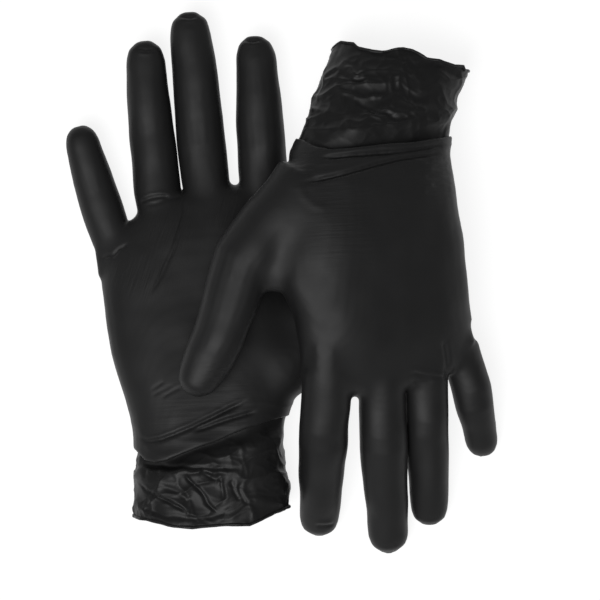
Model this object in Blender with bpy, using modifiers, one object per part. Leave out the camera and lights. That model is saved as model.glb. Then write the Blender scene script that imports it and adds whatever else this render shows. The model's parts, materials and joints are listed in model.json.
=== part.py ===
"""A pair of disposable nitrile gloves, kept in the shape of the hands that wore them.

The right glove lies on a table with its palm up. The left glove lies across it with its back up.
Each glove is one thin film: a cuff that ends in a rolled bead, a palm, and five finger stalls. The film
folds at the middle joint of each stall, so each stall is a base and an outer part that hinges on it.

+X runs to the right, +Y away from the right glove's cuff and +Z up. The origin is on the table, under the
middle of the pair's box. Lengths in the tables below are in millimetres.
"""

import math
from dataclasses import dataclass

import bmesh
import bpy
from mathutils import Vector

MM = 0.001
FILM = 0.5  # wall of every shell
GAP = 0.3  # clear space between neighbouring shells
BEAD_RADIUS = 1.3  # the rolled rim of the cuff
RIM_WAVES = ((1.1, 2, 0.8), (0.6, 5, 0.0))  # how the rim wanders along the arm: height, waves, phase
HAND_SIDES = 32  # points round the palm and the cuff
STALL_SIDES = 16  # points round a finger stall
PALM_SQUARENESS = 2.5  # a superellipse's power: 2 is an ellipse
STALL_SQUARENESS = 2.1
STALL_FLATNESS = 0.86  # a stall's thickness over its width
PAD_FLATNESS = 0.82
ROOT_DEPTH = 12.0  # how far a finger's base starts inside the palm
CAP_ANGLES = (32, 58, 80)  # rings of a stall's rounded end, in degrees past its last full ring
PALM_CAP = ((2.2, 0.80), (3.6, 0.50), (4.2, 0.18))  # the web: mm past the last station, share of thickness
BLACK_NITRILE = (0.022, 0.022, 0.023, 1.0)
SMOOTH_ROUGHNESS, CRUMPLED_ROUGHNESS = 0.46, 0.55  # of the stretched film and of the loose cuff


@dataclass
class Station:
    """One cross-section of a cuff or palm: its little-finger edge, its thumb edge and half its thickness."""

    little_edge: tuple
    thumb_edge: tuple
    half_thickness: float
    bow: float = 0.0  # how far the middle of the section stands ahead of its edges


@dataclass
class Digit:
    """A finger or thumb. base lists (x, y, z, width) from inside the palm to the middle joint."""

    name: str
    base: tuple
    tip: tuple
    middle_width: float
    pad_width: float
    bends_towards: tuple
    bends_by: float  # degrees, from rest


@dataclass
class Glove:
    name: str
    palm_side: tuple
    cuff: tuple
    palm: tuple
    digits: tuple


PALM_UP, PALM_DOWN = (0, 0, 1), (0, 0, -1)
CURL, LIFT = 75.0, 25.0  # a finger that lies palm up curls; one that rests on its tip can only lift

RIGHT = Glove(
    name="right",
    palm_side=PALM_UP,
    cuff=(
        Station((-68.6, -107.2, 18.2), (2.6, -103.6, 18.2), 19.0, bow=-4.4),
        Station((-68.4, -97, 18.2), (3.6, -95.5, 18.2), 19.0, bow=-2),
        Station((-68.4, -85, 18.0), (1.0, -85, 18.0), 18.8),
        Station((-68.2, -74.2, 17.7), (0.4, -74.2, 17.7), 18.5),
    ),
    palm=(
        Station((-68.2, -73.8, 17.7), (0.4, -73.8, 17.7), 18.5),
        Station((-69.6, -65, 17.4), (1.6, -65, 17.4), 18.2),
        Station((-73.0, -54, 16.8), (5.8, -54, 17.0), 17.6),
        Station((-79.8, -32, 15.2), (6.0, -33, 16.0), 16.0),
        Station((-82.8, -11, 13.6), (8.2, -11, 14.4), 14.4, bow=3),
        Station((-84.6, 4, 12.2), (4.8, 18, 12.6), 12.8, bow=9),
        Station((-84.6, 12, 11.4), (4.2, 37, 11.6), 11.4, bow=14),
    ),
    digits=(
        Digit("index", ((-7.9, 42.2, 12.2, 22.4), (-9.6, 66.4, 11.0, 22.8)), (-12.6, 114.9, 15),
              20.8, 18.0, PALM_UP, CURL),
        Digit("middle", ((-35.0, 42.2, 12.2, 21.8), (-38.0, 68.3, 11.0, 22.8)), (-43.5, 126.1, 16),
              21.2, 18.6, PALM_UP, CURL),
        Digit("ring", ((-57.2, 36.1, 12.0, 21.4), (-60.1, 60.8, 11.0, 21.6)), (-64.4, 112.5, 16),
              20.0, 17.6, PALM_UP, CURL),
        Digit("little", ((-78.2, 16.1, 11.6, 19.6), (-86.3, 40.3, 10.4, 19.4)), (-95.2, 72.5, 14),
              17.2, 15.4, PALM_UP, CURL),
        Digit("thumb", ((-20, -52, 19, 22), (-3.5, -43, 19, 31), (12.4, -27, 16.5, 28), (24.5, 6.8, 13, 23.6)),
              (32, 39, 10.5), 22.4, 19.0, (-0.95, 0.2, 0.22), 25.0),
    ),
)

LEFT = Glove(
    name="left",
    palm_side=PALM_DOWN,
    cuff=(
        Station((86.2, 96.6, 18.4), (22.6, 106.8, 20.0), 19.0, bow=-1),
        Station((81.0, 85, 20.8), (19.2, 96, 23.8), 18.8),
        Station((79.2, 71, 23.5), (14.2, 82, 30), 18.4),
        Station((77.6, 60.4, 26), (10.6, 70.4, 36), 18.2),
    ),
    palm=(
        Station((77.6, 60.0, 26), (10.5, 70.0, 36), 18.2),
        Station((78.3, 52, 26.4), (4.4, 59.5, 40), 17.8),
        Station((79.9, 42, 27), (4.8, 48, 45), 17.2),
        Station((83.6, 20, 27), (-2.0, 24, 48.5), 15.8),
        Station((85.9, -3, 26), (-0.6, -1, 49.5), 14.4, bow=3),
        Station((86.9, -11, 25), (6.4, -15, 49), 13.7, bow=4),
        Station((88.0, -18, 24), (8.6, -28, 48), 12.8, bow=6),
        Station((91.0, -29, 22), (9.4, -45, 44), 11.2, bow=9),
    ),
    digits=(
        Digit("index", ((20.6, -51.2, 41.5, 22.2), (19.4, -70.4, 34.0, 22.6)), (17.4, -117.8, 3.0),
              20.6, 17.6, (-0.29, 0, 0.96), LIFT),
        Digit("middle", ((46.4, -48.4, 35.6, 20.6), (46.9, -72.0, 29.5, 21.2)), (50.6, -126.0, 4.0),
              19.8, 18.0, (-0.27, 0, 0.96), LIFT),
        Digit("ring", ((67.4, -43.6, 29.6, 19.4), (67.8, -65.2, 24.8, 19.4)), (69.6, -113.4, 4.0),
              18.6, 17.0, (-0.04, 0, 1), LIFT),
        Digit("little", ((83.2, -30.9, 24.2, 18.6), (89.4, -53.0, 19.6, 18.2)), (95.2, -80.8, 2.9),
              15.6, 14.6, (-0.2, 0, 0.98), LIFT),
        Digit("thumb", ((22, 50, 43, 22), (3, 35.5, 46, 30), (-17, 12.4, 47, 28.4), (-26.4, -20, 47, 24.4)),
              (-41.2, -51.4, 46.5), 22.8, 19.6, (0.98, -0.2, 0.1), 30.0),
    ),
)


def start_scene():
    """Clears the scene and makes the collections for the gloves and for what cuts them."""
    for obj in list(bpy.data.objects):
        bpy.data.objects.remove(obj)
    collections = []
    for name in ("nitrile_gloves", "cutters"):
        collection = bpy.data.collections.new(name)
        bpy.context.scene.collection.children.link(collection)
        collections.append(collection)
    return collections


def nitrile(name, roughness=SMOOTH_ROUGHNESS):
    """A material of black nitrile rubber for one piece."""
    material = bpy.data.materials.new(f"{name}_nitrile")
    material.use_nodes = True
    shader = material.node_tree.nodes["Principled BSDF"]
    shader.inputs["Base Color"].default_value = BLACK_NITRILE
    shader.inputs["Roughness"].default_value = roughness
    shader.inputs["Metallic"].default_value = 0.0
    shader.inputs["Specular IOR Level"].default_value = 0.45
    return material


def ring(centre, lateral, normal, half_width, half_thickness, power, sides, shift=None, floor=None):
    """Points of a superellipse round centre, anticlockwise seen from ahead, in millimetres.

    shift moves a point by a vector found from its offset, and floor is the lowest z that a point may have.
    """
    points = []
    for i in range(sides):
        angle = 2 * math.pi * (i + 0.5) / sides
        c, s = math.cos(angle), math.sin(angle)
        across = half_width * math.copysign(abs(c) ** (2 / power), c)
        through = half_thickness * math.copysign(abs(s) ** (2 / power), s)
        point = centre + lateral * across + normal * through
        if shift:
            point += shift(point - centre, across / half_width)
        if floor is not None:
            point.z = max(point.z, floor)
        points.append(point)
    return points


def station_rings(glove, stations, grow=0.0, floor=None, cap=()):
    """Rings of a cuff or palm. cap lists extra closing rings as (distance ahead, share of thickness)."""
    rings = []
    palm_side = Vector(glove.palm_side)
    ahead_of_all = Vector(stations[-1].thumb_edge) - Vector(stations[0].thumb_edge)
    sections = [(s, 0.0, 1.0) for s in stations] + [(stations[-1], d, share) for d, share in cap]
    for s, distance, share in sections:
        little, thumb = Vector(s.little_edge), Vector(s.thumb_edge)
        lateral = (thumb - little).normalized()
        normal = (palm_side - lateral * palm_side.dot(lateral)).normalized()
        ahead = normal.cross(lateral)
        ahead *= math.copysign(1, ahead.dot(ahead_of_all))
        shrink = distance * (1 - share)
        half_width = (thumb - little).length / 2 + grow - shrink
        half_thickness = (s.half_thickness + grow) * share
        centre = (little + thumb) / 2 + ahead * (distance + (grow if share < 1 else 0))
        rings.append(
            ring(centre, lateral, normal, half_width, half_thickness, PALM_SQUARENESS, HAND_SIDES,
                 shift=lambda offset, u, bow=s.bow, ahead=ahead: ahead * bow * (1 - u * u), floor=floor)
        )
    return rings


def digit_frame(digit):
    """(base points, joint, tip, way the stall runs at its joint, side it bends towards), as vectors in mm."""
    base = [Vector(p[:3]) for p in digit.base]
    joint, tip = base[-1], Vector(digit.tip)
    along = ((joint - base[-2]).normalized() + (tip - joint).normalized()).normalized()
    bends = Vector(digit.bends_towards)
    bends = (bends - along * bends.dot(along)).normalized()
    return base, joint, tip, along, bends


def stall_axes(glove, along):
    """A stall's sideways and through-thickness directions where it runs along the given way."""
    palm_side = Vector(glove.palm_side)
    normal = (palm_side - along * palm_side.dot(along)).normalized()
    return normal.cross(along), normal


def joint_shift(digit, way):
    """Slopes a stall's end at its joint, on the side it bends towards, so that both halves clear each other."""
    _, _, _, along, bends = digit_frame(digit)
    slope = math.tan(math.radians(digit.bends_by / 2))
    return lambda offset, u: along * way * (GAP / 2 + max(0.0, offset.dot(bends)) * slope)


def base_rings(glove, digit, grow=0.0, open_end=0.0):
    """Rings of a stall's base, from inside the palm to its middle joint, carried on by open_end past it."""
    base, joint, _, along, _ = digit_frame(digit)
    widths = [p[3] for p in digit.base]
    if len(base) == 2:
        back = (base[0] - base[1]).normalized() * ROOT_DEPTH
        base, widths = [base[0] + back, *base], [widths[0], *widths]
    rings = []
    for i, (point, width) in enumerate(zip(base, widths)):
        last = i == len(base) - 1
        way = along if last else (base[i + 1] - base[max(i - 1, 0)]).normalized()
        lateral, normal = stall_axes(glove, way)
        half = width / 2 + grow
        shift = joint_shift(digit, -1) if last and not open_end else None
        rings.append(ring(point, lateral, normal, half, (width * STALL_FLATNESS) / 2 + grow,
                          STALL_SQUARENESS, STALL_SIDES, shift))
    if open_end:
        rings.append([p + along * open_end for p in rings[-1]])
    return rings


def outer_rings(glove, digit):
    """Rings of a stall's outer part, from its middle joint to its rounded end."""
    _, joint, tip, along, _ = digit_frame(digit)
    way, length = (tip - joint).normalized(), (tip - joint).length
    cap = digit.pad_width / 2
    joint_width = digit.base[-1][3]
    sections = (
        (0.0, joint_width, STALL_FLATNESS),
        (0.45 * length, digit.middle_width, STALL_FLATNESS),
        (length - cap, digit.pad_width, PAD_FLATNESS),
    )
    rings = []
    for i, (distance, width, flatness) in enumerate(sections):
        lateral, normal = stall_axes(glove, along if i == 0 else way)
        rings.append(ring(joint + way * distance, lateral, normal, width / 2, width * flatness / 2,
                          STALL_SQUARENESS, STALL_SIDES, joint_shift(digit, 1) if i == 0 else None))
    for angle in CAP_ANGLES:
        ahead, share = cap * math.sin(math.radians(angle)), math.cos(math.radians(angle))
        centre = joint + way * (length - cap + ahead)
        rings.append(ring(centre, lateral, normal, cap * share, cap * PAD_FLATNESS * share,
                          STALL_SQUARENESS, STALL_SIDES))
    return rings


def loft(name, rings, collection, cap_start=False, cap_end=False, origin=Vector((0, 0, 0))):
    """An object whose surface runs through the rings, open at each end that isn't capped."""
    bm = bmesh.new()
    edges = []
    for points in rings:
        verts = [bm.verts.new((p - origin) * MM) for p in points]
        edges.append([bm.edges.new((verts[i - 1], verts[i])) for i in range(len(verts))])
    for first, second in zip(edges, edges[1:]):
        bmesh.ops.bridge_loops(bm, edges=first + second)
    for wanted, loop in ((cap_start, edges[0]), (cap_end, edges[-1])):
        if wanted:
            closed = bmesh.ops.contextual_create(bm, geom=loop)
            bmesh.ops.triangulate(bm, faces=closed["faces"])
    bmesh.ops.recalc_face_normals(bm, faces=bm.faces)
    if not (cap_start and cap_end):
        face_outwards(bm)
    mesh = bpy.data.meshes.new(name)
    bm.to_mesh(mesh)
    bm.free()
    mesh.shade_smooth()
    obj = bpy.data.objects.new(name, mesh)
    obj.location = origin * MM
    collection.objects.link(obj)
    return obj


def face_outwards(bm):
    """Turns an open surface's faces round if they point at its middle."""
    middle = sum((v.co for v in bm.verts), Vector()) / len(bm.verts)
    outward = sum(f.normal.dot(f.calc_center_median() - middle) * f.calc_area() for f in bm.faces)
    if outward < 0:
        bmesh.ops.reverse_faces(bm, faces=bm.faces)


def make_film(obj, parent, roughness=SMOOTH_ROUGHNESS):
    """Gives an open surface the film's wall, on its inner side, its material and its parent."""
    obj.data.materials.append(nitrile(obj.name, roughness))
    obj.parent = parent
    solidify = obj.modifiers.new("film", "SOLIDIFY")
    solidify.thickness = FILM * MM
    solidify.offset = -1


def cut(obj, cutter):
    """Cuts one object away from another."""
    boolean = obj.modifiers.new(f"cut_by_{cutter.name}", "BOOLEAN")
    boolean.operation = "DIFFERENCE"
    boolean.object = cutter


def hide_helper(obj):
    obj.hide_render = True
    obj.display_type = "WIRE"
    return obj


def wavy_rim(glove):
    """The rings of the cuff with a rim that wanders, and the way along the arm past the rim."""
    rings = station_rings(glove, glove.cuff, floor=0.0)
    middles = [sum(points, Vector()) / len(points) for points in rings[:2]]
    outwards = (middles[0] - middles[1]).normalized()
    for i, point in enumerate(rings[0]):
        turn = 2 * math.pi * i / HAND_SIDES
        point += outwards * sum(height * math.sin(waves * turn + phase) for height, waves, phase in RIM_WAVES)
        point.z = max(point.z, 0.0)
    return rings, outwards


def build_bead(glove, collection, parent):
    """The rolled rim: a closed tube along the edge of the cuff."""
    rings, outwards = wavy_rim(glove)
    curve = bpy.data.curves.new(f"{glove.name}_cuff_bead", "CURVE")
    curve.dimensions = "3D"
    curve.bevel_depth = BEAD_RADIUS * MM
    curve.bevel_resolution = 2
    curve.twist_mode = "MINIMUM"
    spline = curve.splines.new("POLY")
    spline.points.add(HAND_SIDES - 1)
    spline.use_cyclic_u = True
    for point, rim in zip(spline.points, rings[0]):
        place = rim + outwards * (BEAD_RADIUS + GAP)
        place.z = max(place.z, BEAD_RADIUS)
        point.co = (*(place * MM), 1)
    curve.materials.append(nitrile(curve.name, CRUMPLED_ROUGHNESS))
    bead = bpy.data.objects.new(curve.name, curve)
    bead.parent = parent
    collection.objects.link(bead)


def build_digit(glove, digit, palm_clearance, collections, parent):
    """A stall's base and outer part. Returns the passage between the base and the palm."""
    gloves, cutters = collections
    name = f"{glove.name}_{digit.name}"
    base = loft(f"{name}_base", base_rings(glove, digit), gloves)
    make_film(base, parent)
    cut(base, palm_clearance)
    joint = Vector(digit.base[-1][:3])
    outer = loft(f"{name}_tip", outer_rings(glove, digit), gloves, cap_end=True, origin=joint)
    make_film(outer, parent)
    passage = loft(f"{name}_passage", base_rings(glove, digit, grow=-FILM, open_end=5.0), cutters,
                   cap_start=True, cap_end=True)
    return hide_helper(passage)


def build_glove(glove, collections):
    gloves, cutters = collections
    parent = bpy.data.objects.new(f"{glove.name}_glove", None)
    gloves.objects.link(parent)
    cuff = loft(f"{glove.name}_cuff", wavy_rim(glove)[0], gloves)
    make_film(cuff, parent, CRUMPLED_ROUGHNESS)
    build_bead(glove, gloves, parent)
    palm = loft(f"{glove.name}_palm", station_rings(glove, glove.palm, floor=0.0, cap=PALM_CAP), gloves,
                cap_end=True)
    make_film(palm, parent)
    clearance = loft(f"{glove.name}_palm_clearance",
                     station_rings(glove, glove.palm, grow=GAP, cap=PALM_CAP), cutters,
                     cap_start=True, cap_end=True)
    hide_helper(clearance)
    for digit in glove.digits:
        cut(palm, build_digit(glove, digit, clearance, collections, parent))


def main():
    collections = start_scene()
    for glove in (RIGHT, LEFT):
        build_glove(glove, collections)


main()
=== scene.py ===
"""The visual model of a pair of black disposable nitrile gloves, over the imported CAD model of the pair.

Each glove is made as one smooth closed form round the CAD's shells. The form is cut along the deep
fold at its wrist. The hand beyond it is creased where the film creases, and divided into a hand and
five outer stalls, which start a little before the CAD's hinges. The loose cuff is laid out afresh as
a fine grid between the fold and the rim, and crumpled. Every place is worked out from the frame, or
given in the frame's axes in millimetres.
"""

import json
import math
from dataclasses import dataclass

import bmesh
import bpy
import numpy as np
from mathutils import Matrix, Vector, noise


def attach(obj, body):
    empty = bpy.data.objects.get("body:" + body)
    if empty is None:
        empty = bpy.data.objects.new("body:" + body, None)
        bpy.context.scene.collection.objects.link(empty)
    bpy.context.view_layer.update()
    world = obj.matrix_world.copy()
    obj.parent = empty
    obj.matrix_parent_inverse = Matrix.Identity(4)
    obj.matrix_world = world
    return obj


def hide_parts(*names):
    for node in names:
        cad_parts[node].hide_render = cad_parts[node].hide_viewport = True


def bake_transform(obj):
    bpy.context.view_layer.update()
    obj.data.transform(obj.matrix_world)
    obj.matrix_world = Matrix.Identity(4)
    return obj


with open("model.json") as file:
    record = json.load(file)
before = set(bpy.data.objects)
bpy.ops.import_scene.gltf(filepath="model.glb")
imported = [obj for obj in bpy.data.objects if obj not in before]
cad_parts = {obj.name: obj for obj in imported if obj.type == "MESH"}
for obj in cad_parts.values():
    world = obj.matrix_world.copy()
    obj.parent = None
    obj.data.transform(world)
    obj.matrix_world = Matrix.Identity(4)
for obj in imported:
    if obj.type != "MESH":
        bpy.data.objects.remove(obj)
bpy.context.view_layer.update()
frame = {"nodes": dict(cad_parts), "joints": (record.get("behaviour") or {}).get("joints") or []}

MM = 0.001
TINY = 1e-12  # the least length that anything is divided by
FINGERS = ("index", "middle", "ring", "little")
DIGITS = (*FINGERS, "thumb")
X_AXIS = np.array((1.0, 0.0, 0.0))
ARM_AXIS = np.array((0.0, 1.0, 0.0))  # both gloves lie along it

# ---- the closed form
VOXEL_MM = 0.9  # the grid that the hulls are welded on
SLACK_MM = 0.8  # the form is welded this much too small, so that neighbouring fingers stay apart
LEAST_SHARE = 0.1  # but no point of a section is drawn in to less than this share of its reach
SLABS = {"palm": 36, "cuff": 10, "base": 6, "tip": 14}  # how many slabs a shell is cut into
THIN_SHARE, THIN_LENGTH_MM = 0.80, 22.0  # the palm thins to this share over this far at its far edge
THIN_PLACES = 24  # the places across the palm where its far edge is found
HINGE_REACH_MM = 36.0  # a base's points this near to its hinge show which way it runs there
WHOLE_SHARE = 0.93  # a base counts as whole where it has this share of its size at the hinge
BURIED_STEP_MM, BURIED_SHRINK = 3.5, 0.03  # each of the sections that run on into the palm
SWELL_MM = 0.3  # how much fuller than the CAD's shells the film stands
SWAY_MM, SWAY_SIZE_MM = 0.6, (14, 16, 14)  # how far the film sways about that, and over what lengths

# ---- smoothing. A weight falls from 1 to 0 over one reach, and is 0 from FADE reaches on.
SMOOTH_STEPS = (0.5, -0.515)  # a step in, and a slightly longer one back out
VALLEY_STEP = 0.9  # how much of the way to its neighbours' middle a point moves in one round
VALLEY_NORMALS_ROUNDS = 10  # rounds of filling between fresh normals
FINGER_ROOT_MM = 26.0  # a finger's root lies this far behind its hinge
FINGER_ROOT_REACH_MM, FINGER_ROOT_FADE = 14.0, 1.8
THUMB_ROOT_MM = 16.0  # the thumb's root is the middle of its base's points this near to its far end
THUMB_ROOT_REACH_MM, THUMB_ROOT_FADE = 22.0, 1.7
WEB_FADE = 1.7
DIGIT_MM, DIGIT_FADE_MM = 30.0, 14.0  # the open hand starts this far from a hinge, and takes this long
THUMB_MORE_MM = 4.0  # but this much further from the thumb's
LEVEL_FROM, LEVEL_OVER = 0.5, 0.3  # how upright a normal is where the hand starts to count as level
HAND_EASE, THUMB_EASE, FINGER_EASE = 0.9, 0.9, 0.8  # how much of a height is evened out in one round
WELD_SMOOTHING, HEIGHT_ROUNDS, WEB_ROUNDS_PER_MM = 12, 60, 16  # rounds of each step, in their order
THUMB_FILLING, FINGER_FILLING, SEAM_FILLING, SEAM_ROUNDS = 100, 60, 320, 30
LAST_FILLING, LAST_SMOOTHING = 10, 24
BULGE_FROM, BULGE_OVER = -0.1, 0.6  # bulges grow with the upward part of a normal, from here over this

# ---- folds and wrinkles
FOLD_TAPER, FOLD_END = 0.16, 0.08  # a fold fades over this share of its length, from a little above 0
LIP_PLACE, LIP_WIDTH = 1.7, 1.2  # in widths of the fold
CREASE_FROM, CREASE_OVER = 0.15, 0.3  # and so do folds
RIDGE_SLOPE = 2.2  # how steeply a ridge falls away from its crest
LOOSE_END_MM, LOOSE_OVER_MM = 2.0, 26.0  # the film is loosest at the wrist fold
LOOSE_START_MM, LOOSE_RISE_MM = -60.0, 30.0  # and not loose at all further back than this
WRIST_WARP_MM, WRIST_WARP_SIZE_MM = 3.0, 16  # how far its wrinkles stray, and over what length
UNDERSIDE, UNDERSIDE_ROLL_MM = -0.3, 0.5  # where a normal points down this much, the fold is this tight
TUCK_MM = 3.2  # how much of the hand's film turns under at the wrist fold
ROLL_LIFT, ROLL_LIFT_MM = 0.5, 3.5  # the fold's rise in radii, and how far back from it that reaches

# ---- pieces
FILM_MM = 0.30  # the film's drawn thickness
BEND_MM = 11.0  # a stall's faces start this far before its hinge
AXIS_PULL = 3  # how much more a stall's tip has to lie on its axis than far along it
CUFF_COLUMNS, CUFF_STEP_MM = 400, 0.5
CUFF_LEAD_MM = 6  # the smooth cuff is taken from this far inside the wrist fold
CUFF_HIDDEN_MM = 3.0  # and its film starts this far inside it
CUFF_FLARE_RINGS, CUFF_EXTRA_RINGS = 6, 25  # past the CAD's cuff it flares on as its last rings do
CUFF_LOOK_RINGS = 8  # the rings this far past the first and the CAD's last give the fold's and rim's x
CUFF_WARP_MM, CUFF_WARP_SIZE_MM = 5, 13  # how far its wrinkles stray
CUFF_WANDER_MM, CUFF_WANDER_SIZE_MM = 1.0, 7  # how far its drawn folds stray
CUFF_WAVE_MM, CUFF_WAVE_SIZE_MM = 1.1, (20, 9, 20)
UNDER_MM, UNDER_LEVEL_MM = 0.2, 1.5  # how far below the fold it starts, and how much more where level
UNDER_FROM, UNDER_OVER = 0.35, 0.5  # how upright a normal is where it starts to count as level
UNDER_START_MM, UNDER_RISE_MM = 1.0, 9.0  # it rises to its own height over this stretch past the fold
BEAD_MM, BEAD_SIDES = 0.75, 10  # radius of the rolled rim
BEAD_UNEVEN, BEAD_UNEVEN_SIZE_MM = 0.35, (5, 5, 5)
BEAD_ROWS = 3  # the grid's last rows, which show where the film is heading
SEEDS = {"wave": 7, "bead": 31, "sway": 40, "wander": 41}  # added to a glove's own seed
SEED_WAY = np.array((1.0, 2.3, 3.7))  # which way a seed moves the noise

# ---- looks
SPECULAR = 0.3  # a worn matt film reflects less than a polished one
BLUE_SHARE = 1.02  # the black is very slightly blue
MOTTLE_PER_M, MOTTLE_DETAIL, MOTTLE_SHARE = 45, 3.0, 0.25
CLOUD_PER_M, CLOUD_DETAIL, CLOUD_ROUGHNESS = 110, 4.0, 0.07
GRAIN_PER_M, GRAIN_DETAIL = 420, 3.0
STREAKS = (("along", (850, 60, 200), 0.30), ("across", (50, 620, 200), -0.05))  # bumps a metre, turn
STREAK_MM, STREAK_DETAIL = 0.55, 3.0
FLOOR_M, FLOOR_GAP_MM = 6.0, 0.2
FLOOR_SHADE, FLOOR_ROUGHNESS, FLOOR_GLOW = 0.3, 0.9, 0.85
CAMERA_X_MM, CAMERA_Y_MM = 8.6, -8.2
VIEW_WIDTH_MM, VIEW_HEIGHT_MM = 279.6, 20.0  # what the frame spans, at that height over the table
LENS_MM, SENSOR_MM = 200.0, 36.0
CLIP_END_M = 20
WORLD_STRENGTH = 0.2
KEY_PLACE_M, KEY_SIZE_M, KEY_WATTS = (-0.5, -0.7, 1.95), 1.4, 26


@dataclass
class Ridges:
    """Wrinkles with sharp crests. The size along each axis and the height are in mm."""

    size: tuple
    seed: float  # added to a glove's own seed
    sharpness: float
    level: float  # the share of the height that leaves the film where it is
    height: float


WRIST_RIDGES = Ridges(size=(30, 7, 30), seed=5, sharpness=2.0, level=0.25, height=0.35)
CUFF_RIDGES = (
    Ridges(size=(22, 9, 22), seed=13, sharpness=1.6, level=0.35, height=0.7),
    Ridges(size=(9, 14, 9), seed=19, sharpness=2.2, level=0.2, height=0.35),
    Ridges(size=(7, 4.5, 7), seed=23, sharpness=1.5, level=0.3, height=0.22),
)


@dataclass
class Fold:
    """A crease across the upper side: its line, and the depth, width and lip across it, all in mm.

    The lip stands to the left of the way the line runs, or to the right if it is negative.
    """

    line: tuple
    depth: float
    width: float
    lip: float = 0.0


@dataclass
class Side:
    """What differs between the gloves. Lengths are in mm, in the frame's axes."""

    name: str
    fingers: float  # +1 if the fingers point along +Y
    notch: dict  # half the gap that the CAD leaves at a finger's hinge, and at the thumb's
    seed: float
    wrist: tuple  # the line of the deep fold between hand and cuff
    wrist_roll: tuple  # the fold's radius at a few places along X
    rim: tuple  # the line of the cuff's rim
    last_ring: float  # the last place along Y where the CAD's cuff is whole
    bulges: tuple  # broad rises of the upper side: x, y, width, length and height
    patches: tuple  # films that close a notch: four corners, each an x, a y and two heights
    webs: tuple  # notches that the film spans with a round edge: x, y and reach
    touching: tuple  # where two stalls press together: x, y, width, length and extra fullness
    along_streaks: tuple  # where fine lines run along the hand: x, y, reach and strength
    across_streaks: tuple  # where they run across it
    hand_folds: tuple
    cuff_folds: tuple


RIGHT = Side(
    name="right", fingers=1.0, notch={"finger": 9.0, "thumb": 4.5}, seed=3.0,
    wrist=((-70, -76), (-66.5, -78.5), (-63.3, -81.6), (-58.2, -82.4), (-53.1, -81.4),
           (-46.4, -78.5), (-38.6, -75.5), (-30.8, -73), (-24.1, -70.1), (-15.1, -66.7), (-6, -64),
           (4, -61.5)),
    wrist_roll=((-70, 0.6), (-64, 0.9), (-54, 1.1), (-40, 0.9), (-24, 0.6), (-6, 0.4), (4, 0.3)),
    rim=((-70, -108.3), (-68.2, -109), (-55.9, -111), (-49.3, -112.6), (-40.9, -113.1),
         (-35.2, -112.6), (-24.1, -111.8), (-14.6, -111.8), (-8.4, -109.2), (-1.8, -106.2),
         (4.3, -103.9)),
    last_ring=-101.0,
    bulges=((-10, -20, 22, 34, 2.5), (-66, -12, 18, 40, 1.0)),
    patches=(((-86.5, 17, 8, 16), (-84.5, 3, 8, 16), (-77, 1, 8, 16), (-77, 17, 8, 16)),),
    webs=((12, -8, 13), (-84, 9, 9)),
    touching=(),
    along_streaks=((-51, 24, 11, 1), (-60, 4, 12, 0.6), (-28, 33, 9, 0.9), (-73, 4, 9, 0.5)),
    across_streaks=((-45, -66, 18, 0.2), (-20, -56, 14, 0.25), (-64, -74, 10, 0.2)),
    hand_folds=(
        Fold(((-66.8, -71.8), (-61.6, -73.6), (-55.9, -72.7), (-49.3, -70.2), (-40.9, -66.7),
              (-32, -62.4), (-24.2, -58.4), (-15.2, -54.3)), 1.3, 0.8, 0.3),
        Fold(((-40.9, -68.8), (-32.5, -66), (-26.4, -63.8), (-18.6, -61.5), (-10.8, -59.4)),
             1.3, 0.8, 0.3),
        Fold(((-66.5, 37.6), (-64.6, 38.1), (-60.9, 39.5), (-56.1, 40.2), (-52, 40)), 1.0, 0.7, 0.3),
        Fold(((-64.3, 36.3), (-58.8, 36.7), (-53.3, 38.8), (-46.7, 40.2)), 0.4, 0.8),
        Fold(((-45.3, 41.6), (-45, 31.8), (-46.7, 26), (-49.5, 17.4), (-53.2, 9.1), (-57.4, 0.4),
              (-60.2, -5.4)), 0.7, 0.8),
        Fold(((-84.5, 11), (-81, 12.5), (-78.5, 12.5), (-76.1, 15.1), (-71, 17.9)), 0.7, 0.7),
        Fold(((-60.2, -49.9), (-54.3, -45.8)), 0.25, 0.6),
        Fold(((-59.7, -52.2), (-50.7, -47.6)), 0.25, 0.6),
        Fold(((-55.2, -53.1), (-46.1, -48.1)), 0.3, 0.6),
        Fold(((-67.6, 108.8), (-63.1, 108.1), (-58.9, 108.6)), 0.6, 0.8, -0.3),
        Fold(((-47.6, 124), (-43.1, 123.3), (-39.4, 124)), 0.6, 0.8, -0.3),
        Fold(((-18.4, 113), (-13.7, 112.3), (-9.6, 113.2)), 0.6, 0.8, -0.3),
    ),
    cuff_folds=(
        Fold(((-69, -84), (-60, -85), (-49.3, -85.2), (-36.5, -85.3), (-18.6, -86)), 0.7, 1.2, -0.6),
        Fold(((-45.3, -88), (-40.9, -93), (-35.2, -99.7), (-29.2, -106.5)), 0.8, 0.9, 0.1),
        Fold(((-37.5, -86.5), (-35.2, -88), (-30.3, -91.1), (-26.9, -88)), 0.7, 1.4, 0.2),
        Fold(((-66.8, -93.7), (-63.4, -96.5), (-55.9, -99.3), (-49.3, -103.2), (-43.1, -107.1)),
             0.75, 0.9, 0.1),
        Fold(((-56, -94), (-50.3, -95.7), (-46.4, -97.6), (-43.6, -100.8), (-40.3, -100.1)),
             0.5, 1.3, 0.2),
        Fold(((-63.3, -105), (-52, -107.6), (-38.6, -109.2), (-28.5, -107), (-24.1, -105.8)),
             0.6, 1.4, -0.2),
        Fold(((-27.5, -90), (-26.9, -101)), 0.5, 0.9, 0.2),
        Fold(((-23, -91), (-19, -101.3)), 0.5, 0.9, 0.2),
        Fold(((-19.6, -93), (-16.3, -103.3)), 0.5, 0.9, 0.2),
    ),
)
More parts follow.
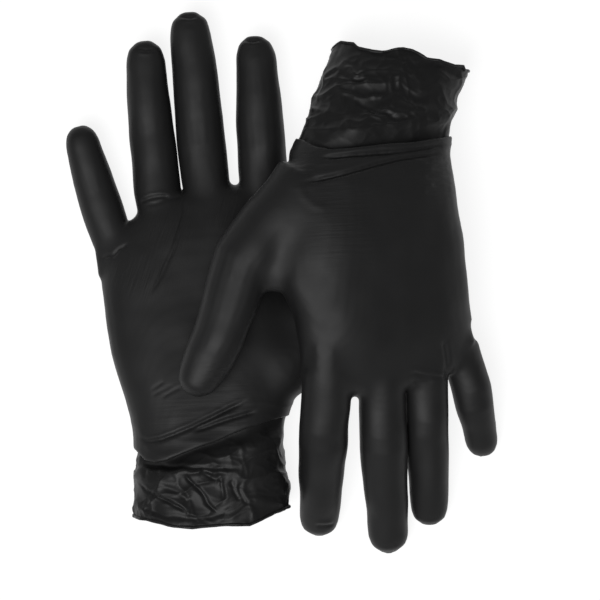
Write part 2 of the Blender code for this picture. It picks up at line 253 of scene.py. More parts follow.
LEFT = Side(
    name="left", fingers=-1.0, notch={"finger": 4.0, "thumb": 5.0}, seed=11.0,
    wrist=((4, 67), (10, 65), (15, 62), (22.8, 60), (34.5, 60.7), (49, 62.5), (60.7, 63.4),
           (72.3, 65.7), (77.5, 66.8), (84, 68)),
    wrist_roll=((6, 0.3), (15, 0.35), (24, 0.6), (36, 0.9), (62, 1.0), (74, 0.6), (84, 0.5)),
    rim=((18, 107), (20.3, 107.9), (23.5, 111.6), (29.4, 110.8), (32.3, 108.8), (39.3, 106.9),
         (44.7, 106.3), (49.9, 107.5), (54.1, 107.9), (58.7, 106.9), (66.4, 103), (73.4, 102.1),
         (80.5, 100.1), (84.9, 100.1), (86.4, 98.5)),
    last_ring=94.0,
    bulges=((32, 12, 34, 46, 5.5),),
    patches=(((-14, 14, 43, 51), (-12.5, -2.5, 43, 51), (7.5, -3.5, 43, 51), (11, 14, 43, 51)),
             ((83.5, -13, 21, 31), (88.8, -28, 21, 31), (78, -31, 21, 31), (77, -13, 21, 31)),
             ((16, -29, 44, 54.4), (16, -44.5, 42, 52.1), (24, -44.5, 42, 53), (24, -29, 44, 55.6))),
    webs=((-2, 0, 15), (85, -22, 9), (4, 55, 8)),
    touching=((57.8, -72, 5, 36, 0.8),),
    along_streaks=(),
    across_streaks=((30, 42, 18, 0.4), (70, 52, 18, 0.8), (35, 22, 18, 0.35), (-30, -41, 6, 1),
                    (12, 54, 10, 0.8)),
    hand_folds=(
        Fold(((8.2, 44.7), (19.9, 47.2), (28.6, 49.4), (35.5, 51.3), (44.9, 54.1), (54.8, 56.5),
              (63.5, 57.7), (75.2, 59.1)), 1.7, 0.9),
        Fold(((17, 56.3), (32.6, 57.9), (57.1, 60), (75.2, 63)), 1.7, 0.9),
        *(Fold(((66 + 3 * (n % 2), 41 + 3.6 * n), (78.5, 42.4 + 3.7 * n)), 0.3, 0.9) for n in range(7)),
        Fold(((7, 45), (8.2, 43.3), (10.9, 38.3), (15.4, 34.7), (21, 33)), -0.25, 2.0),
        Fold(((59.3, -41.3), (67.3, -43.2), (76.3, -44.1)), 0.5, 0.9, 0.3),
        Fold(((59.3, -45.7), (70, -46.2)), 0.3, 0.9),
        Fold(((16.4, -113.6), (20, -114), (24.6, -113.4)), 0.6, 0.8, 0.3),
        Fold(((74.7, -26.6), (76.4, -35.7), (76.4, -46.4)), 0.7, 1.2, 0.2),
    ),
    cuff_folds=(
        Fold(((24, 90), (28.7, 87.5), (33.4, 85.9), (39.2, 84.9), (49.1, 85.5)), -0.7, 1.2),
        Fold(((26, 95.5), (34, 93), (40, 92.5)), 0.8, 1.6),
        Fold(((29.3, 99.4), (31.4, 98.8), (32.8, 96.5), (35.7, 94.7), (37.6, 97.7)), -0.6, 1.0),
        Fold(((42.6, 80.7), (52.2, 77.2), (61.4, 78.3), (63.3, 80.7)), -0.5, 1.1),
        Fold(((35.6, 75.8), (40.2, 77), (43.9, 75.2), (48.9, 75.8)), -0.5, 1.1),
        Fold(((34, 83), (44, 78.5), (54, 74)), 0.7, 1.6),
        Fold(((50.4, 96.5), (50.4, 86.6)), -0.35, 0.9),
        Fold(((54.1, 99.5), (54.1, 85.7)), -0.35, 0.9),
        Fold(((30.4, 83), (30.4, 68)), -0.2, 0.9),
        Fold(((19.9, 94.3), (27.4, 97.7)), 0.6, 1.0, 0.3),
    ),
)


# ---------------------------------------------------------------- small tools


def unit(way):
    """The vector's direction."""
    return way / np.linalg.norm(way)


def unit_rows(values):
    """The direction of each row."""
    return values / np.maximum(np.linalg.norm(values, axis=-1, keepdims=True), TINY)


def smoothstep(x):
    """Eases from 0 at 0 to 1 at 1, and holds both beyond."""
    x = np.clip(x, 0, 1)
    return x * x * (3 - 2 * x)


def ramp(value, start, length):
    """Eases from 0 where the value is at the start to 1 a length further on."""
    return smoothstep((value - start) / length)


def along(table, x):
    """The table's second value at x, where the table lists pairs in rising order."""
    table = np.array(table)
    return np.interp(x, table[:, 0], table[:, 1])


def mesh_arrays(mesh):
    """A mesh's points and edges."""
    points = np.empty(len(mesh.vertices) * 3)
    mesh.vertices.foreach_get("co", points)
    edges = np.empty(len(mesh.edges) * 2, int)
    mesh.edges.foreach_get("vertices", edges)
    return points.reshape(-1, 3), edges.reshape(-1, 2)


def node_arrays(name):
    """A CAD node's points and edges."""
    return mesh_arrays(frame["nodes"][name].data)


def face_array(mesh):
    """A mesh's quads as rows of point numbers. Every face has four corners."""
    corners = np.empty(len(mesh.loops), int)
    mesh.loops.foreach_get("vertex_index", corners)
    return corners.reshape(-1, 4)


def vertex_normals(points, faces):
    """Normals at the points of a quad mesh, weighted by area."""
    first, second, third, fourth = (points[faces[:, corner]] for corner in range(4))
    area = np.cross(third - first, fourth - second)
    normals = np.stack([
        sum(np.bincount(faces[:, corner], area[:, axis], len(points)) for corner in range(4))
        for axis in range(3)
    ], axis=1)
    return unit_rows(normals)


def neighbour_mean(values, edges, count):
    """The mean of each point's neighbours' values."""
    a, b = edges[:, 0], edges[:, 1]
    degree = np.maximum(np.bincount(edges.ravel(), minlength=count), 1)
    return np.stack([
        (np.bincount(a, column[b], count) + np.bincount(b, column[a], count)) / degree
        for column in values.T
    ], axis=1)


def smooth(points, edges, rounds):
    """Takes out small bumps and keeps the volume (Taubin's way)."""
    for _ in range(rounds):
        for step in SMOOTH_STEPS:
            points = points + step * (neighbour_mean(points, edges, len(points)) - points)
    return points


def part_round(weight, edges, faces):
    """The points of the faces that have some weight, with their edges and faces numbered afresh."""
    near = weight > 0
    kept = faces[near[faces].any(axis=1)]
    used, corners = np.unique(kept, return_inverse=True)
    place = np.zeros(len(weight), int)
    place[used] = np.arange(len(used))
    return used, place[edges[near[edges].any(axis=1)]], corners.reshape(kept.shape)


def fill_valleys(points, edges, faces, weight, rounds, ways=(1, 1, 1)):
    """Rounds the hollow seams between welded forms, and leaves the bulging parts as they are.

    ways says how much a point may move along X, Y and Z.
    """
    used, edges, faces = part_round(weight, edges, faces)
    some, weight = points[used], weight[used]
    for done in range(rounds):
        if done % VALLEY_NORMALS_ROUNDS == 0:
            normals = vertex_normals(some, faces)
        pull = neighbour_mean(some, edges, len(some)) - some
        outwards = np.einsum("ij,ij->i", pull, normals)
        some = some + pull * ways * (weight * (outwards > 0) * VALLEY_STEP)[:, None]
    points = points.copy()
    points[used] = some
    return points


def relax_heights(points, edges, faces, weight, rounds):
    """Evens out heights only, so that the outline seen from above stays."""
    used, edges, faces = part_round(weight, edges, faces)
    heights, weight = points[used, 2:], weight[used, None]
    for _ in range(rounds):
        heights = heights + weight * (neighbour_mean(heights, edges, len(used)) - heights)
    points = points.copy()
    points[used, 2:] = heights
    return points


def noise_at(points, size, seed):
    """Smooth noise from -1 to 1 at points in metres, for bumps of that size in mm along each axis.

    The seed moves the points to another part of the noise.
    """
    spots = points / MM / np.asarray(size, float) + SEED_WAY * seed
    return np.array([noise.noise(Vector(spot)) for spot in spots])


def drift_at(points, size, seed):
    """Smooth noise from -1 to 1 along X, Y and Z at once, for bumps of one size in mm."""
    return np.stack([noise_at(points, (size,) * 3, seed + axis) for axis in range(3)], axis=1)


def ridge_heights(points, ridges, seed):
    """How far the ridges raise each point, in mm."""
    crest = np.clip(1 - np.abs(noise_at(points, ridges.size, seed + ridges.seed)) * RIDGE_SLOPE, 0, 1)
    return (crest ** ridges.sharpness - ridges.level) * ridges.height


def bumps_at(points, bumps):
    """The sum of some round bumps, each given by x, y, width, length and height."""
    total = np.zeros(len(points))
    for x, y, wide, long, high in bumps:
        offset = (points[:, :2] / MM - (x, y)) / (wide, long)
        total += high * np.exp(-(offset ** 2).sum(1))
    return total


def plan_distance(points, x, y):
    """How far each point lies from a place in mm, seen from above."""
    return np.linalg.norm(points[:, :2] / MM - (x, y), axis=1)


# ---------------------------------------------------------------- the closed form


def section(points, edges, at, axis):
    """Where edges pass through the plane at that distance along the axis."""
    height = points @ axis - at
    a, b = height[edges[:, 0]], height[edges[:, 1]]
    crosses = a * b < 0
    share = (a[crosses] / (a - b)[crosses])[:, None]
    ends = edges[crosses]
    return points[ends[:, 0]] * (1 - share) + points[ends[:, 1]] * share


def sections(name, axis, count, start=None, end=None):
    """Evenly spaced sections of a node across axis, each drawn in by the slack."""
    points, edges = node_arrays(name)
    distance = points @ axis
    inset = SLACK_MM * MM
    start = distance.min() + inset if start is None else start
    end = distance.max() - inset if end is None else end
    found = []
    for at in np.linspace(start, end, count + 1):
        ring = section(points, edges, at, axis)
        if len(ring) > 3:  # fewer points enclose nothing
            middle = (ring.min(0) + ring.max(0)) / 2
            reach = np.linalg.norm(ring - middle, axis=1, keepdims=True)
            found.append(middle + (ring - middle) * np.maximum(1 - inset / reach, LEAST_SHARE))
    return found


def add_hulls(bm, chain):
    """Fills the space between each two neighbouring sections with their convex hull."""
    for first, second in zip(chain, chain[1:]):
        verts = [bm.verts.new(p) for p in np.vstack((first, second))]
        result = bmesh.ops.convex_hull(bm, input=verts)
        spare = {v for v in (*result["geom_interior"], *result["geom_unused"])
                 if isinstance(v, bmesh.types.BMVert) and v.is_valid}
        bmesh.ops.delete(bm, geom=list(spare), context="VERTS")


def hinge(side, digit):
    """A point on a stall's hinge, and the ways the stall runs before and after it."""
    joint = next(j for j in frame["joints"] if j["name"] == f"{side.name}_{digit}_fold")
    pivot = np.array(joint["pos_m"], float)
    base = node_arrays(f"{side.name}_{digit}_base")[0]
    tip = node_arrays(f"{side.name}_{digit}_tip")[0]
    near = base[np.linalg.norm(base - pivot, axis=1) < HINGE_REACH_MM * MM]
    return pivot, unit(pivot - near.mean(0)), unit(tip.mean(0) - pivot)


def thin_end(side, rings):
    """Thins the palm towards its far edge, so that the stalls run out of it without a ledge."""
    points, edges = node_arrays(f"{side.name}_palm")
    places = np.linspace(points[:, 0].min(), points[:, 0].max(), THIN_PLACES + 2)[1:-1]
    ends = [(section(points, edges, x, X_AXIS)[:, 1] * side.fingers).max() for x in places]
    thinned = []
    for ring in rings:
        left = np.interp(ring[:, 0], places, ends) - ring[:, 1] * side.fingers
        slope, level = np.polyfit(ring[:, 0], ring[:, 2], 1)
        middle = slope * ring[:, 0] + level
        share = THIN_SHARE + (1 - THIN_SHARE) * smoothstep(left / (THIN_LENGTH_MM * MM))
        thinned.append(np.column_stack((ring[:, :2], middle + (ring[:, 2] - middle) * share)))
    return thinned


def digit_chain(side, digit):
    """Sections of a stall from inside the palm to its tip, carried over the CAD's open fold."""
    pivot, before, after = hinge(side, digit)
    clear = side.notch["thumb" if digit == "thumb" else "finger"] * MM
    base = sections(f"{side.name}_{digit}_base", before, SLABS["base"], end=pivot @ before - clear)
    sizes = [np.ptp(ring, axis=0).max() for ring in base]
    whole = [ring for ring, size in zip(base, sizes) if size > WHOLE_SHARE * sizes[-1]]
    middle = whole[0].mean(0)
    buried = [middle + (whole[0] - middle) * (1 - BURIED_SHRINK * n) - before * BURIED_STEP_MM * MM * n
              for n in (3, 2, 1)]
    tip = sections(f"{side.name}_{digit}_tip", after, SLABS["tip"], start=pivot @ after + clear)
    return [*buried, *whole, *tip]


def closed_form(side):
    """One closed quad mesh round the whole glove: (points, edges, faces)."""
    bm = bmesh.new()
    cuff = sections(f"{side.name}_cuff", ARM_AXIS, SLABS["cuff"])
    palm = thin_end(side, sections(f"{side.name}_palm", ARM_AXIS, SLABS["palm"]))
    across_wrist = [cuff[-2], palm[1]] if side.fingers > 0 else [palm[-4], cuff[3]]  # joins the two
    for chain in (cuff, palm, across_wrist):
        add_hulls(bm, chain)
    for digit in DIGITS:
        add_hulls(bm, digit_chain(side, digit))
    for corners in side.patches:
        posts = [np.array([(x, y, low), (x, y, high)]) * MM for x, y, low, high in corners]
        add_hulls(bm, [np.concatenate(posts[:2]), np.concatenate(posts[2:])])
    mesh = bpy.data.meshes.new(f"{side.name}_form")
    bm.to_mesh(mesh)
    bm.free()
    form = bpy.data.objects.new(mesh.name, mesh)
    bpy.context.scene.collection.objects.link(form)
    remesh = form.modifiers.new("weld", "REMESH")
    remesh.mode = "VOXEL"
    remesh.voxel_size = VOXEL_MM * MM
    view = bpy.context.evaluated_depsgraph_get()
    welded = bpy.data.meshes.new_from_object(form.evaluated_get(view))
    bpy.data.objects.remove(form)
    points, edges = mesh_arrays(welded)
    return points, edges, face_array(welded)


def swell_heights(side, points, normals):
    """How far the broad bulges raise the upper side, in metres."""
    return bumps_at(points, side.bulges) * MM * ramp(normals[:, 2], BULGE_FROM, BULGE_OVER)


def near_roots(side, points):
    """Weights from 0 to 1: near where the fingers leave the palm, and near where the thumb does."""
    fingers = np.zeros(len(points))
    for digit in FINGERS:
        pivot, before, _ = hinge(side, digit)
        root = pivot - before * FINGER_ROOT_MM * MM
        reaches = np.linalg.norm(points - root, axis=1) / (FINGER_ROOT_REACH_MM * MM)
        fingers = np.maximum(fingers, smoothstep(FINGER_ROOT_FADE - reaches))
    base = node_arrays(f"{side.name}_thumb_base")[0]
    pivot = hinge(side, "thumb")[0]
    away = np.linalg.norm(base - pivot, axis=1)
    root = base[away > away.max() - THUMB_ROOT_MM * MM].mean(0)
    reaches = np.linalg.norm(points - root, axis=1) / (THUMB_ROOT_REACH_MM * MM)
    return fingers, smoothstep(THUMB_ROOT_FADE - reaches)


def open_hand(side, points):
    """Weights from 0 on the digits to 1 on the broad palm."""
    away = [np.linalg.norm(points - hinge(side, digit)[0], axis=1) for digit in DIGITS]
    away[DIGITS.index("thumb")] -= THUMB_MORE_MM * MM
    return ramp(np.min(away, axis=0), DIGIT_MM * MM, DIGIT_FADE_MM * MM)


def form_glove(side):
    """The glove's smooth form at its full size: points, edges and faces."""
    points, edges, faces = closed_form(side)
    points = smooth(points, edges, WELD_SMOOTHING)
    fingers, thumb = near_roots(side, points)
    level = ramp(np.abs(vertex_normals(points, faces)[:, 2]), LEVEL_FROM, LEVEL_OVER)
    hand = open_hand(side, points) * level
    for weight in (hand * HAND_EASE, thumb * THUMB_EASE, fingers * FINGER_EASE):
        points = relax_heights(points, edges, faces, weight, HEIGHT_ROUNDS)
    for x, y, reach in side.webs:
        weight = smoothstep(WEB_FADE - plan_distance(points, x, y) / reach)
        points = fill_valleys(points, edges, faces, weight, WEB_ROUNDS_PER_MM * reach)
    points = fill_valleys(points, edges, faces, thumb, THUMB_FILLING)
    points = fill_valleys(points, edges, faces, fingers, FINGER_FILLING)
    points = fill_valleys(points, edges, faces, fingers, SEAM_FILLING, ways=(0, 0, 1))
    points = relax_heights(points, edges, faces, fingers * FINGER_EASE, SEAM_ROUNDS)
    points = fill_valleys(points, edges, faces, np.ones(len(points)), LAST_FILLING)
    points = smooth(points, edges, LAST_SMOOTHING)
    points[:, 2] += swell_heights(side, points, vertex_normals(points, faces))
    normals = vertex_normals(points, faces)
    full = SLACK_MM + SWELL_MM + bumps_at(points, side.touching) * np.abs(normals[:, 0])
    full += SWAY_MM * noise_at(points, SWAY_SIZE_MM, side.seed + SEEDS["sway"])
    points = points + normals * full[:, None] * MM
    points[:, 2] = np.maximum(points[:, 2], 0.0)
    return points, edges, faces


# ---------------------------------------------------------------- folds


def fold_heights(points, normals, folds):
    """How far the folds raise or lower each point of the upper side, in metres."""
    spots = points[:, :2] / MM
    heights = np.zeros(len(points))
    for fold in folds:
        line = np.array(fold.line, float)
        steps = np.diff(line, axis=0)
        lengths = np.linalg.norm(steps, axis=1)
        total = lengths.sum()
        best = np.full(len(spots), np.inf)
        across = np.zeros(len(spots))
        place = np.zeros(len(spots))
        done = 0.0
        for start, step, length in zip(line, steps, lengths):
            way = step / length
            offset = spots - start
            run = np.clip(offset @ way, 0, length)
            distance = np.linalg.norm(offset - run[:, None] * way, axis=1)
            nearer = distance < best
            side_of = np.sign(way[0] * offset[:, 1] - way[1] * offset[:, 0])
            best = np.where(nearer, distance, best)
            across = np.where(nearer, distance * side_of, across)
            place = np.where(nearer, (done + run) / total, place)
            done += length
        taper = smoothstep(np.minimum(place, 1 - place) / FOLD_TAPER + FOLD_END)
        valley = -fold.depth * np.exp(-((across / fold.width) ** 2))
        beside = across * np.sign(fold.lip or 1) / fold.width
        lip = abs(fold.lip) * np.exp(-(((beside - LIP_PLACE) / LIP_WIDTH) ** 2))
        heights += (valley + lip) * taper
    return heights * MM * ramp(normals[:, 2], CREASE_FROM, CREASE_OVER)


def past_wrist(side, points):
    """How far each point lies past the wrist fold, towards the cuff, in metres."""
    return side.fingers * (along(side.wrist, points[:, 0] / MM) * MM - points[:, 1])


def wrist_wrinkles(side, points, past):
    """Heights in metres of the wrinkles in the hand's film, which are strongest at the wrist fold."""
    loose = smoothstep(1 + (past - LOOSE_END_MM * MM) / (LOOSE_OVER_MM * MM))
    loose *= ramp(past, LOOSE_START_MM * MM, LOOSE_RISE_MM * MM)
    sway = noise_at(points, (WRIST_WARP_SIZE_MM,) * 3, side.seed)[:, None]
    warp = points + WRIST_WARP_MM * MM * sway
    return ridge_heights(warp, WRIST_RIDGES, side.seed) * loose * MM


def turn_under(side, points, normals, past):
    """Rolls the film under along the wrist fold, and lifts it a little just before."""
    radius = along(side.wrist_roll, points[:, 0] / MM) * MM
    radius = np.where(normals[:, 2] < UNDERSIDE, UNDERSIDE_ROLL_MM * MM, radius)
    arc = np.pi * radius
    turned = np.clip(past / radius, 0, np.pi)
    left_over = np.maximum(past - arc, 0)
    run = np.where(past > 0, radius * np.sin(turned) - left_over, past)
    drop = np.where(past > 0, radius * (1 - np.cos(turned)), 0)
    lift = ROLL_LIFT * radius * np.exp(-((np.minimum(past, 0) / (ROLL_LIFT_MM * MM)) ** 2))
    shift = (run - past) * -side.fingers
    points[:, 1] += np.where(past > 0, shift, 0)
    return points + normals * (lift - drop)[:, None]


def crease_hand(side, points, faces):
    """Puts the folds into the hand's film and turns its end under at the wrist fold."""
    normals = vertex_normals(points, faces)
    points = points + normals * fold_heights(points, normals, side.hand_folds)[:, None]
    past = past_wrist(side, points)
    points = points + normals * wrist_wrinkles(side, points, past)[:, None]
    points = turn_under(side, points, normals, past)
    points[:, 2] = np.maximum(points[:, 2], 0.0)
    return points


# ---------------------------------------------------------------- pieces


def flood(faces, allowed, start, count):
    """The allowed faces that can be reached from the start face by way of shared points."""
    reached = np.zeros(len(faces), bool)
    reached[start] = True
    while True:
        at_points = np.zeros(count, bool)
        at_points[faces[reached].ravel()] = True
        grown = allowed & at_points[faces].any(1)
        if (grown & ~reached).sum() == 0:
            return reached
        reached |= grown


def stall_faces(side, points, faces):
    """The faces of each stall, from where its bend starts to its tip."""
    sets = {}
    middle = points[faces].mean(1)
    taken = np.zeros(len(faces), bool)
    for digit in DIGITS:
        pivot, before, after = hinge(side, digit)
        beyond = (middle - (pivot - before * BEND_MM * MM)) @ before > 0
        offset = middle - pivot
        reach = offset @ after
        aside = np.linalg.norm(offset - np.outer(reach, after), axis=1)
        tip = int(np.argmax(reach - AXIS_PULL * aside))
        sets[digit] = flood(faces, beyond & ~taken, tip, len(points))
        taken |= sets[digit]
    return sets


def piece(name, points, normals, faces, attributes, material):
    """A closed thin shell from some of the glove's faces, with the whole glove's normals."""
    used, corners = np.unique(faces, return_inverse=True)
    corners = corners.reshape(faces.shape)
    count = len(used)
    outer = points[used]
    inner = outer - normals[used] * FILM_MM * MM
    walks = np.stack((corners, np.roll(corners, -1, axis=1)), axis=2).reshape(-1, 2)
    key = walks[:, 0].astype(np.int64) * count + walks[:, 1]
    back = walks[:, 1].astype(np.int64) * count + walks[:, 0]
    border = walks[~np.isin(key, back)]
    rim = np.stack((border[:, 1], border[:, 0], border[:, 0] + count, border[:, 1] + count), axis=1)
    all_faces = np.vstack((corners, corners[:, ::-1] + count, rim))
    mesh = bpy.data.meshes.new(name)
    mesh.from_pydata(np.vstack((outer, inner)).tolist(), [], all_faces.tolist())
    mesh.shade_smooth()
    for word, values in attributes.items():
        layer = mesh.attributes.new(word, "FLOAT", "POINT")
        layer.data.foreach_set("value", np.tile(values[used], 2).astype(np.float32))
    mesh.normals_split_custom_set_from_vertices(np.vstack((normals[used], -normals[used])).tolist())
    mesh.materials.append(material)
    obj = bpy.data.objects.new(name, mesh)
    bpy.context.scene.collection.objects.link(obj)
    return obj


def grid_faces(rows, columns):
    """Quads of a grid that is closed round its columns, facing away from the tube they make."""
    row, column = np.mgrid[0:rows - 1, 0:columns]
    after = (column + 1) % columns
    quads = (row * columns + column, row * columns + after,
             (row + 1) * columns + after, (row + 1) * columns + column)
    return np.stack(quads, axis=-1).reshape(-1, 4)


def ring_at(points, edges, y):
    """The form's section at y as a ring of evenly turned points, from its left over its top."""
    ring = section(points, edges, y, ARM_AXIS)
    low, high = ring.min(0), ring.max(0)
    middle, half = (low + high) / 2, (high - low) / 2
    angle = np.arctan2((ring[:, 2] - middle[2]) / half[2], (ring[:, 0] - middle[0]) / half[0])
    order = np.argsort(angle)
    turns = np.pi - 2 * np.pi * np.arange(CUFF_COLUMNS) / CUFF_COLUMNS
    x = np.interp(turns, angle[order], ring[order, 0], period=2 * np.pi)
    z = np.interp(turns, angle[order], ring[order, 2], period=2 * np.pi)
    return np.stack((x, np.full(CUFF_COLUMNS, y), z), axis=1)


def cuff_grid(side, points, edges):
    """The smooth cuff as a grid, row by row from under the wrist fold to the rim."""
    arm = -side.fingers
    wrist_ys = [y for _, y in side.wrist]
    first = ((min(wrist_ys) if arm > 0 else max(wrist_ys)) - arm * CUFF_LEAD_MM) * MM
    step = arm * MM  # from each ring to the next
    stops = np.arange(first, side.last_ring * MM, step)
    rings = np.array([ring_at(points, edges, y) for y in stops])
    flare = (rings[-1] - rings[-1 - CUFF_FLARE_RINGS]) / CUFF_FLARE_RINGS
    flare[:, 1] = step
    extra = np.array([rings[-1] + flare * n for n in range(1, CUFF_EXTRA_RINGS + 1)])
    rings = np.concatenate((rings, extra))
    rings[:, :, 2] = np.maximum(rings[:, :, 2], 0)
    wrist_x, rim_x = rings[CUFF_LOOK_RINGS, :, 0], rings[len(stops) + CUFF_LOOK_RINGS, :, 0]
    begin = along(side.wrist, wrist_x / MM) * MM - arm * CUFF_HIDDEN_MM * MM
    end = along(side.rim, rim_x / MM) * MM
    count = int(np.abs(end - begin).max() / MM / CUFF_STEP_MM) + 1
    columns = np.arange(CUFF_COLUMNS)
    last_place = len(rings) - 1.001  # just short of the last ring, so that a ring always follows
    grid = np.empty((count, CUFF_COLUMNS, 3))
    for row, share in enumerate(np.linspace(0, 1, count)):
        y = begin + (end - begin) * share
        place = np.clip((y - first) / step, 0, last_place)
        low = place.astype(int)
        mix = (place - low)[:, None]
        grid[row] = rings[low, columns] * (1 - mix) + rings[low + 1, columns] * mix
    return grid


def grid_normals(grid):
    """Outward normals of a grid that is closed round its columns."""
    along_arm = np.gradient(grid, axis=0)
    round_it = np.roll(grid, -1, axis=1) - np.roll(grid, 1, axis=1)
    normals = unit_rows(np.cross(round_it, along_arm))
    outwards = np.sum(normals * (grid - grid.mean(1, keepdims=True)))
    return normals * np.sign(outwards)


def crumple(side, points, normals, room):
    """Heights in metres of the loose cuff's folds. room fades them out at its hidden end."""
    warp = points + CUFF_WARP_MM * MM * drift_at(points, CUFF_WARP_SIZE_MM, side.seed)
    heights = noise_at(warp, CUFF_WAVE_SIZE_MM, side.seed + SEEDS["wave"]) * CUFF_WAVE_MM
    for ridges in CUFF_RIDGES:
        heights += ridge_heights(warp, ridges, side.seed)
    drift = drift_at(points, CUFF_WANDER_SIZE_MM, side.seed + SEEDS["wander"])
    wandered = points + CUFF_WANDER_MM * MM * drift
    return heights * MM * room + fold_heights(wandered, normals, side.cuff_folds)


def build_cuff(side, points, edges, materials):
    """The cuff's crumpled film and the bead rolled along its rim."""
    grid = cuff_grid(side, points, edges)
    normals = grid_normals(grid).reshape(-1, 3)
    spots = grid.reshape(-1, 3)
    past = past_wrist(side, spots)
    radius = along(side.wrist_roll, spots[:, 0] / MM) * MM
    level = ramp(np.abs(normals[:, 2]), UNDER_FROM, UNDER_OVER)
    deepest = 2 * radius + UNDER_MM * MM + UNDER_LEVEL_MM * MM * level
    under = deepest * (1 - ramp(past, UNDER_START_MM * MM, UNDER_RISE_MM * MM))
    heights = crumple(side, spots, normals, ramp(past, 0, UNDER_RISE_MM * MM)) - under
    spots = spots + normals * heights[:, None]
    spots[:, 2] = np.maximum(spots[:, 2], 0.0)
    grid = spots.reshape(grid.shape)
    normals = grid_normals(grid)
    faces = grid_faces(len(grid), CUFF_COLUMNS)
    a, b, c = (spots[faces[0, k]] for k in range(3))
    if np.cross(b - a, c - b) @ normals[0, 0] < 0:
        faces = faces[:, ::-1]
    film = piece(f"{side.name}_cuff_film", spots, normals.reshape(-1, 3), faces, {},
                 materials["cuff_film"])
    away = unit_rows(grid[-1] - grid[-1 - BEAD_ROWS])
    bead = build_bead(side, grid[-1], normals[-1], away, materials["bead"])
    return film, bead


def build_bead(side, rim, outwards, away, material):
    """A thin uneven roll along the rim."""
    wobble = noise_at(rim, BEAD_UNEVEN_SIZE_MM, side.seed + SEEDS["bead"])
    radius = BEAD_MM * MM * (1 + BEAD_UNEVEN * wobble)
    turns = 2 * np.pi * np.arange(BEAD_SIDES) / BEAD_SIDES
    rings = np.stack([
        rim + (outwards * math.cos(turn) + away * math.sin(turn)) * radius[:, None]
        for turn in turns
    ], axis=1)
    rings[:, :, 2] = np.maximum(rings[:, :, 2], 0.0)
    count = len(rim)
    row, column = np.mgrid[0:count, 0:BEAD_SIDES]
    after, beside = (row + 1) % count, (column + 1) % BEAD_SIDES
    quads = (row * BEAD_SIDES + column, row * BEAD_SIDES + beside,
             after * BEAD_SIDES + beside, after * BEAD_SIDES + column)
    faces = np.stack(quads, axis=-1).reshape(-1, 4)
    points = rings.reshape(-1, 3)
    normals = vertex_normals(points, faces)
    if (normals.reshape(rings.shape)[:, 0] * outwards).sum() < 0:
        faces = faces[:, ::-1]
    mesh = bpy.data.meshes.new(f"{side.name}_cuff_bead_roll")
    mesh.from_pydata(points.tolist(), [], faces.tolist())
    mesh.shade_smooth()
    mesh.materials.append(material)
    obj = bpy.data.objects.new(mesh.name, mesh)
    bpy.context.scene.collection.objects.link(obj)
    return obj


def streaks_at(points, spots):
    """How strong the fine lines are at each point, from 0 to 1."""
    strength = np.zeros(len(points))
    for x, y, reach, most in spots:
        away = plan_distance(points, x, y) / reach
        strength = np.maximum(strength, most * np.exp(-(away ** 2)))
    return strength


def build_glove(side, materials):
    """One glove: its cuff, bead, hand and five stalls. The cuff, bead and hand ride with the glove's
    body.
    """
    points, edges, faces = form_glove(side)
    marks = {"along": streaks_at(points, side.along_streaks),
             "across": streaks_at(points, side.across_streaks)}
    cuff, bead = build_cuff(side, points, edges, materials)
    body = f"{side.name}_glove"
    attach(cuff, body)
    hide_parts(f"{side.name}_cuff")
    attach(bead, body)
    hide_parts(f"{side.name}_cuff_bead")
    kept = past_wrist(side, points)[faces].mean(1) < TUCK_MM * MM
    sets = stall_faces(side, points, faces)
    points = crease_hand(side, points, faces)
    normals = vertex_normals(points, faces)
    hand_faces = kept & ~np.any(list(sets.values()), axis=0)
    hand = piece(f"{side.name}_hand_film", points, normals, faces[hand_faces], marks,
                 materials["film"])
    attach(hand, body)
    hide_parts(f"{side.name}_palm", *(f"{side.name}_{digit}_base" for digit in DIGITS))
    for digit in DIGITS:
        stall = piece(f"{side.name}_{digit}_film", points, normals, faces[sets[digit]], marks,
                      materials["film"])
        pivot, before, after = hinge(side, digit)
        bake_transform(stall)
        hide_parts(f"{side.name}_{digit}_tip")


# ---------------------------------------------------------------- looks


class Nodes:
    """Adds shader nodes to a material and joins them."""

    def __init__(self, material):
        material.use_nodes = True
        self.tree = material.node_tree
        self.shader = self.tree.nodes["Principled BSDF"]

    def add(self, kind, inputs=(), **settings):
        """A new node with those settings, its inputs joined to sockets or set to values."""
        node = self.tree.nodes.new(kind)
        for word, value in settings.items():
            setattr(node, word, value)
        for socket, value in dict(inputs).items():
            if isinstance(value, bpy.types.NodeSocket):
                self.tree.links.new(value, node.inputs[socket])
            else:
                node.inputs[socket].default_value = value
        return node.outputs

    def join(self, output, socket):
        """Joins an output to one of the shader's own sockets."""
        self.tree.links.new(output, self.shader.inputs[socket])

    def times(self, a, b):
        return self.add("ShaderNodeMath", {0: a, 1: b}, operation="MULTIPLY")[0]

    def plus(self, a, b):
        return self.add("ShaderNodeMath", {0: a, 1: b}, operation="ADD")[0]

    def spread(self, value, low, high):
        """Takes a value that runs from 0 to 1 to the range from low to high."""
        return self.plus(self.times(value, high - low), low)

    def noise(self, scale, detail, turn=0.0):
        """Noise with that many bumps a metre along each axis, after a turn about Z."""
        places = self.add("ShaderNodeTexCoord")["Object"]
        turned = self.add("ShaderNodeMapping", {"Vector": places, "Rotation": (0, 0, turn)})[0]
        mapped = self.add("ShaderNodeMapping", {"Vector": turned, "Scale": scale})[0]
        return self.add("ShaderNodeTexNoise", {"Vector": mapped, "Scale": 1.0, "Detail": detail})[0]


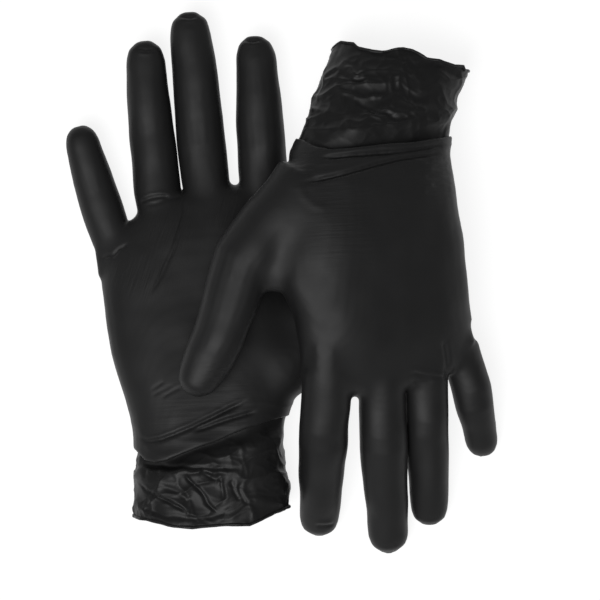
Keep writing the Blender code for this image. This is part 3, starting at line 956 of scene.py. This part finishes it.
def film_material(name, shade, roughness, grain_mm, streaks=False):
    """Black nitrile: matt, faintly mottled, with fine lines where the marks ask for them."""
    material = bpy.data.materials.new(name)
    nodes = Nodes(material)
    mottle = nodes.noise((MOTTLE_PER_M,) * 3, MOTTLE_DETAIL)
    light = nodes.spread(mottle, shade * (1 - MOTTLE_SHARE), shade * (1 + MOTTLE_SHARE))
    blue = nodes.times(light, BLUE_SHARE)
    colour = nodes.add("ShaderNodeCombineColor", {0: light, 1: light, 2: blue})[0]
    nodes.join(colour, "Base Color")
    cloud = nodes.noise((CLOUD_PER_M,) * 3, CLOUD_DETAIL)
    gloss = nodes.spread(cloud, roughness - CLOUD_ROUGHNESS, roughness + CLOUD_ROUGHNESS)
    nodes.join(gloss, "Roughness")
    nodes.shader.inputs["Specular IOR Level"].default_value = SPECULAR
    height = nodes.times(nodes.noise((GRAIN_PER_M,) * 3, GRAIN_DETAIL), grain_mm * MM)
    if streaks:
        for mark, scale, turn in STREAKS:
            lines = nodes.noise(scale, STREAK_DETAIL, turn)
            mask = nodes.add("ShaderNodeAttribute", attribute_name=mark)["Fac"]
            height = nodes.plus(height, nodes.times(nodes.times(lines, mask), STREAK_MM * MM))
    bump = nodes.add("ShaderNodeBump", {"Height": height, "Strength": 1.0, "Distance": 1.0})
    nodes.join(bump[0], "Normal")
    return material


def make_stage():
    """A plain pale floor, which glows a little so that it stays near white."""
    mesh = bpy.data.meshes.new("floor")
    bm = bmesh.new()
    bmesh.ops.create_grid(bm, x_segments=1, y_segments=1, size=FLOOR_M)
    bm.to_mesh(mesh)
    bm.free()
    floor = bpy.data.objects.new("floor", mesh)
    floor.location.z = -FLOOR_GAP_MM * MM
    bpy.context.scene.collection.objects.link(floor)
    material = bpy.data.materials.new("pale_floor")
    material.use_nodes = True
    shader = material.node_tree.nodes["Principled BSDF"]
    shader.inputs["Base Color"].default_value = (FLOOR_SHADE, FLOOR_SHADE, FLOOR_SHADE, 1)
    shader.inputs["Roughness"].default_value = FLOOR_ROUGHNESS
    shader.inputs["Emission Color"].default_value = (1, 1, 1, 1)
    shader.inputs["Emission Strength"].default_value = FLOOR_GLOW
    mesh.materials.append(material)


def make_camera():
    """A long lens that looks straight down, as the photograph does."""
    data = bpy.data.cameras.new("camera")
    data.lens = LENS_MM
    data.sensor_width = SENSOR_MM
    data.clip_end = CLIP_END_M
    camera = bpy.data.objects.new("camera", data)
    distance = VIEW_WIDTH_MM * LENS_MM / SENSOR_MM
    camera.location = np.array((CAMERA_X_MM, CAMERA_Y_MM, VIEW_HEIGHT_MM + distance)) * MM
    bpy.context.scene.collection.objects.link(camera)
    bpy.context.scene.camera = camera


def make_lights():
    """A soft key light above the pair, and an even grey round it."""
    world = bpy.data.worlds.new("studio")
    bpy.context.scene.world = world
    world.use_nodes = True
    background = world.node_tree.nodes["Background"]
    background.inputs["Color"].default_value = (1, 1, 1, 1)
    background.inputs["Strength"].default_value = WORLD_STRENGTH
    data = bpy.data.lights.new("key", "AREA")
    data.shape = "DISK"
    data.size = KEY_SIZE_M
    data.energy = KEY_WATTS
    key = bpy.data.objects.new("key", data)
    key.location = KEY_PLACE_M
    key.rotation_euler = (Vector((0, 0, 0)) - key.location).to_track_quat("-Z", "Y").to_euler()
    bpy.context.scene.collection.objects.link(key)
    bpy.context.scene.view_settings.view_transform = "Standard"


make_camera()
make_stage()
make_lights()
MATERIALS = {
    "film": film_material("black_nitrile_film", shade=0.012, roughness=0.50, grain_mm=0.02,
                          streaks=True),
    "cuff_film": film_material("black_nitrile_cuff", shade=0.008, roughness=0.47, grain_mm=0.08),
    "bead": film_material("black_nitrile_bead", shade=0.012, roughness=0.47, grain_mm=0.05),
}
for glove_side in (RIGHT, LEFT):
    build_glove(glove_side, MATERIALS)
